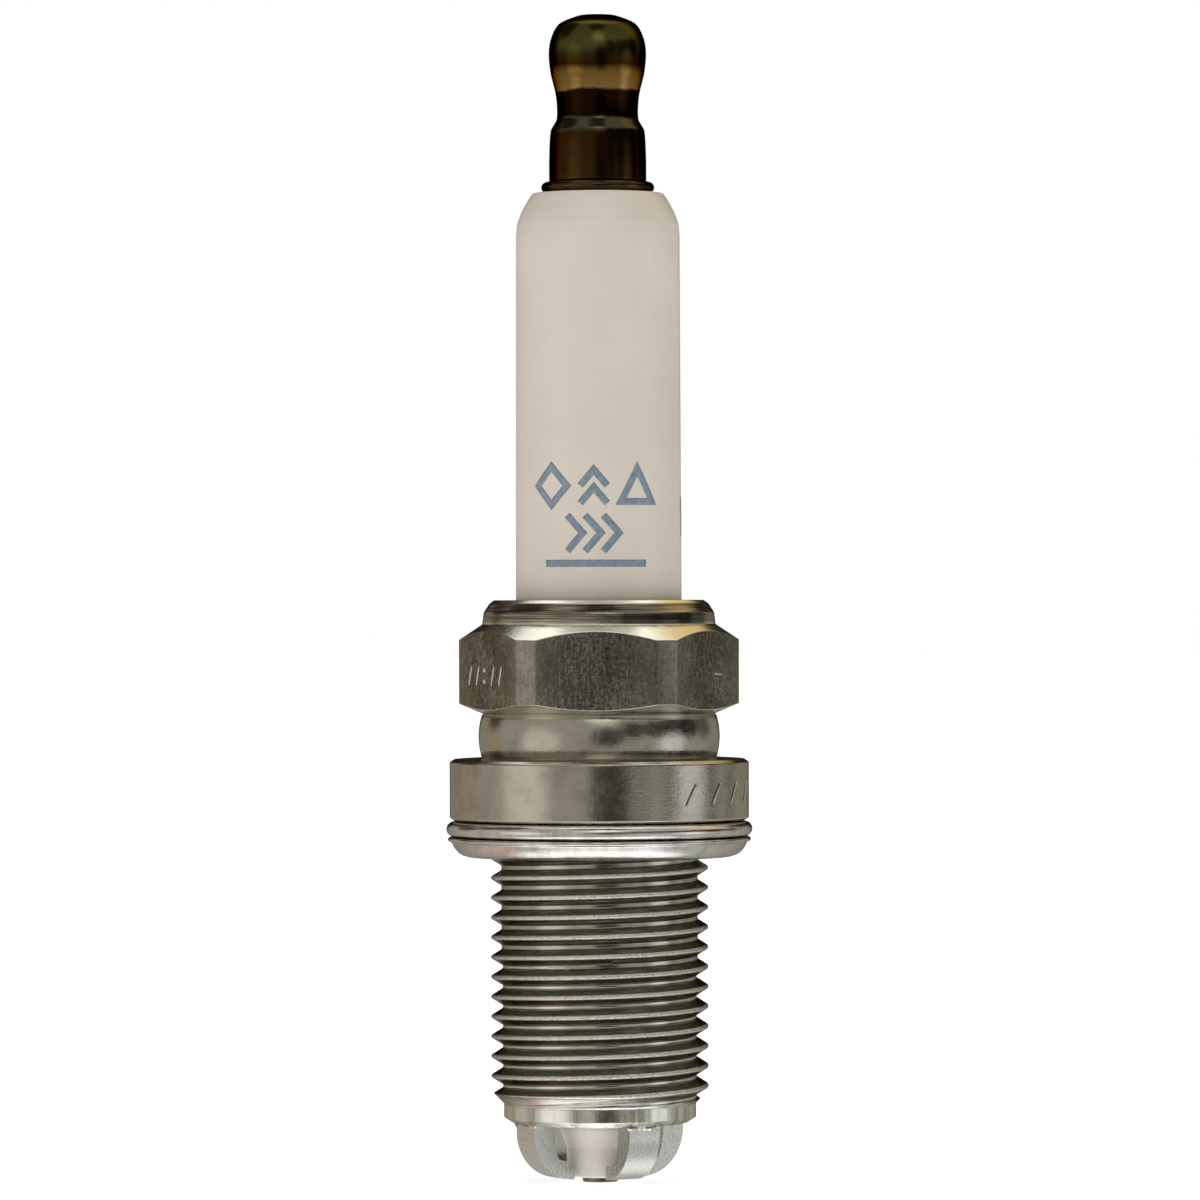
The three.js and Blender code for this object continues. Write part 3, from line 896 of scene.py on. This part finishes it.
def stroke_grid(points, width, closed=False, step=0.2):
    """A grid of (along, up) positions that covers a stroke, fine enough to wrap round the head."""
    left, right = stroke(points, width, closed)
    shares = [0.0]
    for i in range(len(left) - 1):
        cuts = max(1, int(np.linalg.norm(left[i + 1] - left[i]) / step))
        shares.extend(i + (k + 1) / cuts for k in range(cuts))
    index = np.arange(len(left))

    def along(side):
        return np.stack([np.interp(shares, index, side[:, k]) for k in (0, 1)], 1)

    across = np.linspace(0, 1, 4)[:, None, None]
    return along(right) * (1 - across) + along(left) * across


def wrap(grid, azimuth, lift):
    """Lays an (along, up) grid on the head, centred on an azimuth measured right of the front."""
    z = grid[..., 1]
    r = head_radius_at(z) + lift
    angle = math.radians(azimuth - 90) + grid[..., 0] / r
    return np.stack([r * np.cos(angle), r * np.sin(angle), z], -1)


def build_print():
    """A plain emblem of simple figures with a bar under it, and a row of blocks on the side."""
    pen = 0.44
    diamond = [(0, 22.25), (1.1, 21.05), (0, 19.85), (-1.1, 21.05)]
    arrows = [[(-0.85, 19.95 + up), (0, 20.95 + up), (0.85, 19.95 + up)] for up in (0, 1.1)]
    triangle = [(0, 22.1), (1.1, 20.05), (-1.1, 20.05)]
    chevrons = [[(-1.7 + s, 16.95), (-0.7 + s, 18.1), (-1.7 + s, 19.2)] for s in (0, 1.15, 2.3)]
    figures = [
        (diamond, True, -33),
        *[(arrow, False, -2) for arrow in arrows],
        (triangle, True, 29),
        *[(chevron, False, -2) for chevron in chevrons],
        ([(-3.35, 16.2), (3.35, 16.2)], False, -1),
        *[([(0, 17.9), (0, 20.4)], False, azimuth) for azimuth in (84, 95, 106, 128, 139)],
    ]
    grids = []
    for points, closed, azimuth in figures:
        grids.append(wrap(stroke_grid(points, pen, closed), azimuth, PRINT_LIFT))
    mesh = mesh_of(grids, "head_print")
    piece = add_piece(mesh, "head_print", "plug", [print_ink()])
    solid = piece.modifiers.new("thickness", "SOLIDIFY")
    solid.thickness = 0.02 * MM
    solid.offset = -1
    return piece


# ---- Terminal --------------------------------------------------------------------------------


def curved(points, steps=6):
    """A smooth outline through (radius, height) points."""
    points = np.array([points[0], *points, points[-1]], float)
    share = np.linspace(0, 1, steps, endpoint=False)[:, None]
    runs = []
    for before, start, end, after in zip(points, points[1:], points[2:], points[3:]):
        bend = 2 * before - 5 * start + 4 * end - after
        twist = 3 * start - before - 3 * end + after
        runs.append(start + 0.5 * ((end - before) * share + bend * share**2 + twist * share**3))
    return np.concatenate([*runs, points[-1:]])[:, None, :]


def build_nut():
    """A waisted cap nut. Its bore is blind, and plain where the stud's thread goes."""
    bore = 2.04
    skirt = rounded([(bore, NUT_BASE), (NUT_RADIUS - 0.02, NUT_BASE, 0.08), (3.07, 41.6)], steps=6)
    waist = curved(
        [
            (3.07, 41.6),
            (3.03, 42.8),
            (2.98, 43.4),
            (2.9, 43.68),
            (2.64, 44.12),
            (2.57, 44.4),
            (2.56, 44.9),
        ]
    )
    bulb = curved(
        [
            (2.56, 44.9),
            (2.6, 45.5),
            (2.69, 46.05),
            (2.83, 46.6),
            (2.97, 47.2),
            (NUT_RADIUS - 0.02, 48.1),
            (3.05, 48.8),
            (2.92, 49.4),
            (2.62, 50.05),
            (2.2, 50.42),
            (1.3, 50.77),
            (0.8, NUT_TOP - 0.01),
            (0, NUT_TOP),
        ]
    )
    hole = rounded([(0, 49.75), (bore, 49.75, 0.1), (bore, NUT_BASE)])
    mesh = mesh_of([revolve(np.concatenate([skirt, waist, bulb, hole]), turn_angles(128))], "nut_body")
    finish = [dark_bronze()]
    return add_piece(mesh, "nut_body", "terminal_nut", finish, ["terminal_nut"])


def stud_envelope(z, r):
    """Chamfers the top of the stud's thread and runs it out above the flange."""
    chamfer = STUD_THREAD["minor"] - 0.1 + (STUD_TOP - z)
    runout = STUD_THREAD["minor"] + (z - 40.6) * 1.2
    floor = STUD_THREAD["minor"] - 0.1
    return np.maximum(floor, np.minimum(r, np.minimum(chamfer, runout)))


def build_stud():
    angles = turn_angles(96)
    minor = STUD_THREAD["minor"] - 0.1
    seat = HEAD_TOP + 0.03
    flange_top = NUT_BASE - 0.03
    rim = (3.23, (seat + flange_top) / 2)
    body = rounded(
        [
            (0, STUD_END),
            (1.3, STUD_END, 0.1),
            (1.5, STUD_END + 0.2, 0.1),
            (1.5, 15, 0.1),
            (1.85, 15.4, 0.1),
            (1.85, seat, 0.1),
            (rim[0], seat, 0.05),
        ],
        longest=2.0,
    )
    bead = np.array(arc(rim, (flange_top - seat) / 2, -90, 90, 12))[:, None, :]
    neck = rounded([(rim[0], flange_top), (minor, flange_top, 0.08), (minor, 40.5)], longest=1.0)
    tip = rounded([(minor, STUD_TOP - 0.02), (minor - 0.05, STUD_TOP, 0.03), (0, STUD_TOP)])
    grids = [
        revolve(np.concatenate([body, bead, neck]), angles),
        helix(STUD_THREAD, 40.5, STUD_TOP - 0.02, stud_envelope, angles),
        revolve(tip, angles),
    ]
    mesh = mesh_of(grids, "stud_body")
    return add_piece(mesh, "stud_body", "plug", [stud_oxide()], ["terminal_stud"])


# ---- Electrodes ------------------------------------------------------------------------------


def bezier(points, steps):
    """Points on the cubic curve from the first point to the last, pulled by the two between."""
    t = np.linspace(0, 1, steps + 1)[:, None]
    weights = ((1 - t) ** 3, 3 * t * (1 - t) ** 2, 3 * t * t * (1 - t), t**3)
    return sum(weight * np.array(point) for weight, point in zip(weights, points))


def strap_outline(y):
    """The strap's outline across its width at y: down the outside, round the bend, in to its tip."""
    centre, tip_top = 2.5, -21.66
    bend_radius = STRAP_OUTER - centre
    low = STRAP_BEND - bend_radius
    base = SHELL_END - 0.02
    tip = math.sqrt(STRAP_TIP**2 - y * y)
    bend = arc((centre, STRAP_BEND), bend_radius, 0, -90, 16)
    inner = bezier([(4.0, STRAP_BEND), (3.95, -20.9), (3.6, -21.5), (3.1, -21.62)], 10)
    outside = [(4.05, base), (STRAP_OUTER, base), *bend[:-1], (2.62, low)]
    return np.concatenate([outside, [(tip, low), (tip, tip_top)], inner[::-1]])


def build_ground_electrode(number, angle, metal):
    """One strap, as slices across its width, with its long edges rounded off."""
    name = f"strap_{number}"
    stations = np.linspace(-STRAP_WIDTH / 2, STRAP_WIDTH / 2, 13)
    loops = [strap_outline(y) for y in stations]
    bm = bmesh.new()
    rings = []
    for y, loop in zip(stations, loops):
        rings.append([bm.verts.new((x * MM, y * MM, z * MM)) for x, z in loop])
    count = len(rings[0])
    for near, far in zip(rings, rings[1:]):
        for i in range(count):
            j = (i + 1) % count
            bm.faces.new((near[i], near[j], far[j], far[i]))
    bm.faces.new(rings[0][::-1])
    bm.faces.new(rings[-1])
    bmesh.ops.recalc_face_normals(bm, faces=bm.faces)
    bmesh.ops.rotate(bm, verts=bm.verts, matrix=Matrix.Rotation(angle, 3, "Z"))
    mesh = bpy.data.meshes.new(name)
    bm.to_mesh(mesh)
    bm.free()
    piece = add_piece(mesh, name, "plug", [metal], [f"ground_electrode_{number}"])
    edges = piece.modifiers.new("edges", "BEVEL")
    edges.width = 0.09 * MM
    edges.segments = 3
    edges.limit_method = "ANGLE"
    edges.angle_limit = math.radians(40)
    edges.harden_normals = True
    return piece


def build_centre_electrode(metal):
    corners = [
        (0, FIRING_END),
        (1.12, FIRING_END, 0.08),
        (1.12, -3.98, 0.05),
        (1.72, -3.5, 0.05),
        (1.72, -2.7, 0.1),
        (1.35, -2.2, 0.1),
        (0.67, -2.2, 0.05),
        (0.67, -21.2, 0.05),
        (0, -21.2),
    ]
    points = rounded(corners)
    mesh = mesh_of([revolve(points, turn_angles(96))], "centre_pin")
    return add_piece(mesh, "centre_pin", "plug", [metal], ["centre_electrode"])


# ---- Sealed pieces ---------------------------------------------------------------------------


def build_sealed_pieces():
    """Better finishes for the CAD solids that nothing shows."""
    glass = grainy("seal_glass", (0.06, 0.035, 0.025), (0.2, 0.11, 0.07), 0.3)
    carbon = grainy("resistor_carbon", (0.015, 0.015, 0.017), (0.06, 0.06, 0.065), 0.2)
    copper = grainy("copper", (0.5, 0.22, 0.12), (0.75, 0.38, 0.24), 0.8, 1.0, (0.22, 0.4), 5)
    wire = grainy("steel_wire", (0.28, 0.28, 0.27), (0.5, 0.5, 0.48), 0.3, 1.0, (0.25, 0.45), 6)
    talc = grainy("talc", (0.55, 0.52, 0.46), (0.8, 0.77, 0.7), 0.25, 0.0, (0.85, 1.0), 25)
    finishes = {
        "upper_glass_seal": glass,
        "lower_glass_seal": glass,
        "resistor": carbon,
        "copper_core": copper,
        "seat_washer": wire,
        "lower_packing_ring": wire,
        "upper_packing_ring": wire,
        "talc_fill": talc,
    }
    for node, material in finishes.items():
        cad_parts[node].data.materials.clear()
        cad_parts[node].data.materials.append(material)


# ---- Studio ----------------------------------------------------------------------------------


def polar(azimuth, distance, height):
    """A place by its azimuth in degrees to the right of the front, distance and height."""
    angle = math.radians(azimuth)
    return Vector((distance * math.sin(angle), -distance * math.cos(angle), height))


def soft_box(name, azimuth, elevation, size, radiance, colour=(1, 1, 1), distance=450):
    """A rectangular light aimed at the plug. Its radiance doesn't depend on its size."""
    light = bpy.data.lights.new(name, "AREA")
    light.shape = "RECTANGLE"
    light.size, light.size_y = size[0] * MM, size[1] * MM
    light.energy = radiance * math.pi * light.size * light.size_y
    light.color = colour
    rise = math.radians(elevation)
    place = polar(azimuth, distance * math.cos(rise), distance * math.sin(rise))
    lamp = bpy.data.objects.new(name, light)
    lamp.location = place * MM
    lamp.rotation_euler = place.to_track_quat("Z", "Y").to_euler()
    lamp.visible_camera = False
    lamp.visible_glossy = False
    bpy.context.scene.collection.objects.link(lamp)


def build_lights():
    soft_box("overhead", 0, 74, (260, 220), 2.4)


# What surrounds the plug: azimuth right of the front, elevation, the angles from that direction
# at which a patch is full and gone, and its colour. Later patches cover earlier ones.
TENT = (0.42, 0.41, 0.365)
PATCHES = [
    (-112, -48, 12, 26, (0.56, 0.42, 0.36)),
    (-62, -48, 12, 22, (0.4, 0.46, 0.37)),
    (52, -48, 7, 16, (0.74, 0.79, 0.95)),
    (100, -48, 12, 24, (0.42, 0.46, 0.42)),
    (0, -90, 24, 42, (1.4, 1.39, 1.35)),
    (180, 72, 16, 38, (1.3, 1.3, 1.2)),
    (0, 62, 10, 20, (0.07, 0.06, 0.045)),
    (4, 35, 8, 17, (1.1, 1.1, 1.0)),
    (-102, 43, 12, 24, (0.07, 0.06, 0.05)),
    (-120, -2, 8, 20, (0.44, 0.37, 0.29)),
    (-124, 19, 8, 18, (0.1, 0.065, 0.055)),
    (-58, -6, 6, 26, (0.84, 0.8, 0.71)),
    (34, 12, 9, 16, (0.06, 0.06, 0.05)),
    (58, 12, 9, 16, (0.06, 0.06, 0.055)),
    (78, 12, 9, 16, (0.05, 0.05, 0.045)),
    (98, 12, 9, 17, (0.03, 0.03, 0.03)),
    (122, 10, 6, 16, (0.13, 0.12, 0.11)),
    (76, -9, 5, 19, (0.88, 0.9, 0.91)),
    (10, 0, 9, 20, (0.07, 0.065, 0.055)),
    (180, 16, 16, 28, (0.02, 0.02, 0.015)),
    (-150, 30, 8, 18, (0.06, 0.05, 0.04)),
    (150, 28, 10, 20, (0.05, 0.04, 0.02)),
    (112, 42, 8, 18, (0.8, 0.6, 0.3)),
    (158, 42, 8, 18, (0.85, 0.64, 0.3)),
]


def build_world():
    """White behind the plug for the camera. For all else a pale tent, open and dark at the camera."""
    world = bpy.data.worlds.new("studio")
    bpy.context.scene.world = world
    world.use_nodes = True
    nodes, links = world.node_tree.nodes, world.node_tree.links
    direction = nodes.new("ShaderNodeTexCoord").outputs["Generated"]
    tent = nodes["Background"]
    below = None
    for azimuth, elevation, inner, outer, colour in PATCHES:
        rise = math.radians(elevation)
        towards = nodes.new("ShaderNodeVectorMath")
        towards.operation = "DOT_PRODUCT"
        towards.inputs[1].default_value = polar(azimuth, math.cos(rise), math.sin(rise))
        links.new(direction, towards.inputs[0])
        span = nodes.new("ShaderNodeMapRange")
        span.interpolation_type = "SMOOTHSTEP"
        span.inputs["From Min"].default_value = math.cos(math.radians(outer))
        span.inputs["From Max"].default_value = math.cos(math.radians(inner))
        links.new(towards.outputs["Value"], span.inputs["Value"])
        mix = nodes.new("ShaderNodeMixRGB")
        mix.inputs["Color1"].default_value = (*TENT, 1)
        mix.inputs["Color2"].default_value = (*colour, 1)
        links.new(span.outputs["Result"], mix.inputs["Fac"])
        if below:
            links.new(below, mix.inputs["Color1"])
        below = mix.outputs["Color"]
    links.new(below, tent.inputs["Color"])
    backdrop = nodes.new("ShaderNodeBackground")
    backdrop.inputs["Color"].default_value = (1, 1, 1, 1)
    rays = nodes.new("ShaderNodeLightPath")
    choose = nodes.new("ShaderNodeMixShader")
    links.new(rays.outputs["Is Camera Ray"], choose.inputs["Fac"])
    links.new(tent.outputs["Background"], choose.inputs[1])
    links.new(backdrop.outputs["Background"], choose.inputs[2])
    links.new(choose.outputs["Shader"], nodes["World Output"].inputs["Surface"])


def build_floor():
    """A plain white table under the firing end, lit through from below."""
    size = 4000 * MM
    mesh = bpy.data.meshes.new("floor")
    signs = ((-1, -1), (1, -1), (1, 1), (-1, 1))
    corners = [(x * size, y * size, FIRING_END * MM) for x, y in signs]
    mesh.from_pydata(corners, [], [(0, 1, 2, 3)])
    floor = bpy.data.objects.new("floor", mesh)
    bpy.context.scene.collection.objects.link(floor)
    paint = Paint("floor", Roughness=0.9, Emission_Strength=0.72, Emission_Color=(0.93, 0.95, 1, 1))
    tone = paint.colours(paint.noise(40), [(0.3, (0.9, 0.9, 0.9)), (0.7, (0.93, 0.93, 0.93))])
    paint.link(tone, "Base Color")
    mesh.materials.append(paint.material)
    floor.visible_glossy = False


def build_camera():
    """A long lens, level with the top of the hexagon and a little right of its front flat."""
    azimuth, distance, height, lens, roll = 1.3, 440, 13.9, 209, 0.15
    data = bpy.data.cameras.new("camera")
    data.lens = lens
    data.sensor_width = 36
    data.clip_end = 50
    camera = bpy.data.objects.new("camera", data)
    camera.location = Vector(polar(azimuth, distance, height)) * MM
    camera.rotation_euler = (math.pi / 2, math.radians(roll), math.radians(azimuth))
    data.shift_x = 0.001
    bpy.context.scene.collection.objects.link(camera)
    bpy.context.scene.camera = camera


# ---- Assembly --------------------------------------------------------------------------------

build_shell()
build_marks()
build_gasket()
build_insulator()
build_print()
build_nut()
build_stud()
nickel_alloy = nickel()
for number in range(1, 5):
    build_ground_electrode(number, math.radians(STRAP_TURN + 90 * (number - 1)), nickel_alloy)
build_welds(nickel_alloy)
burnt = grainy("burnt_nickel", (0.14, 0.12, 0.07), (0.4, 0.36, 0.26), 0.4, 1.0, (0.25, 0.45))
build_centre_electrode(burnt)
build_sealed_pieces()

build_floor()
build_world()
build_lights()
build_camera()
bpy.context.scene.view_settings.view_transform = "Standard"
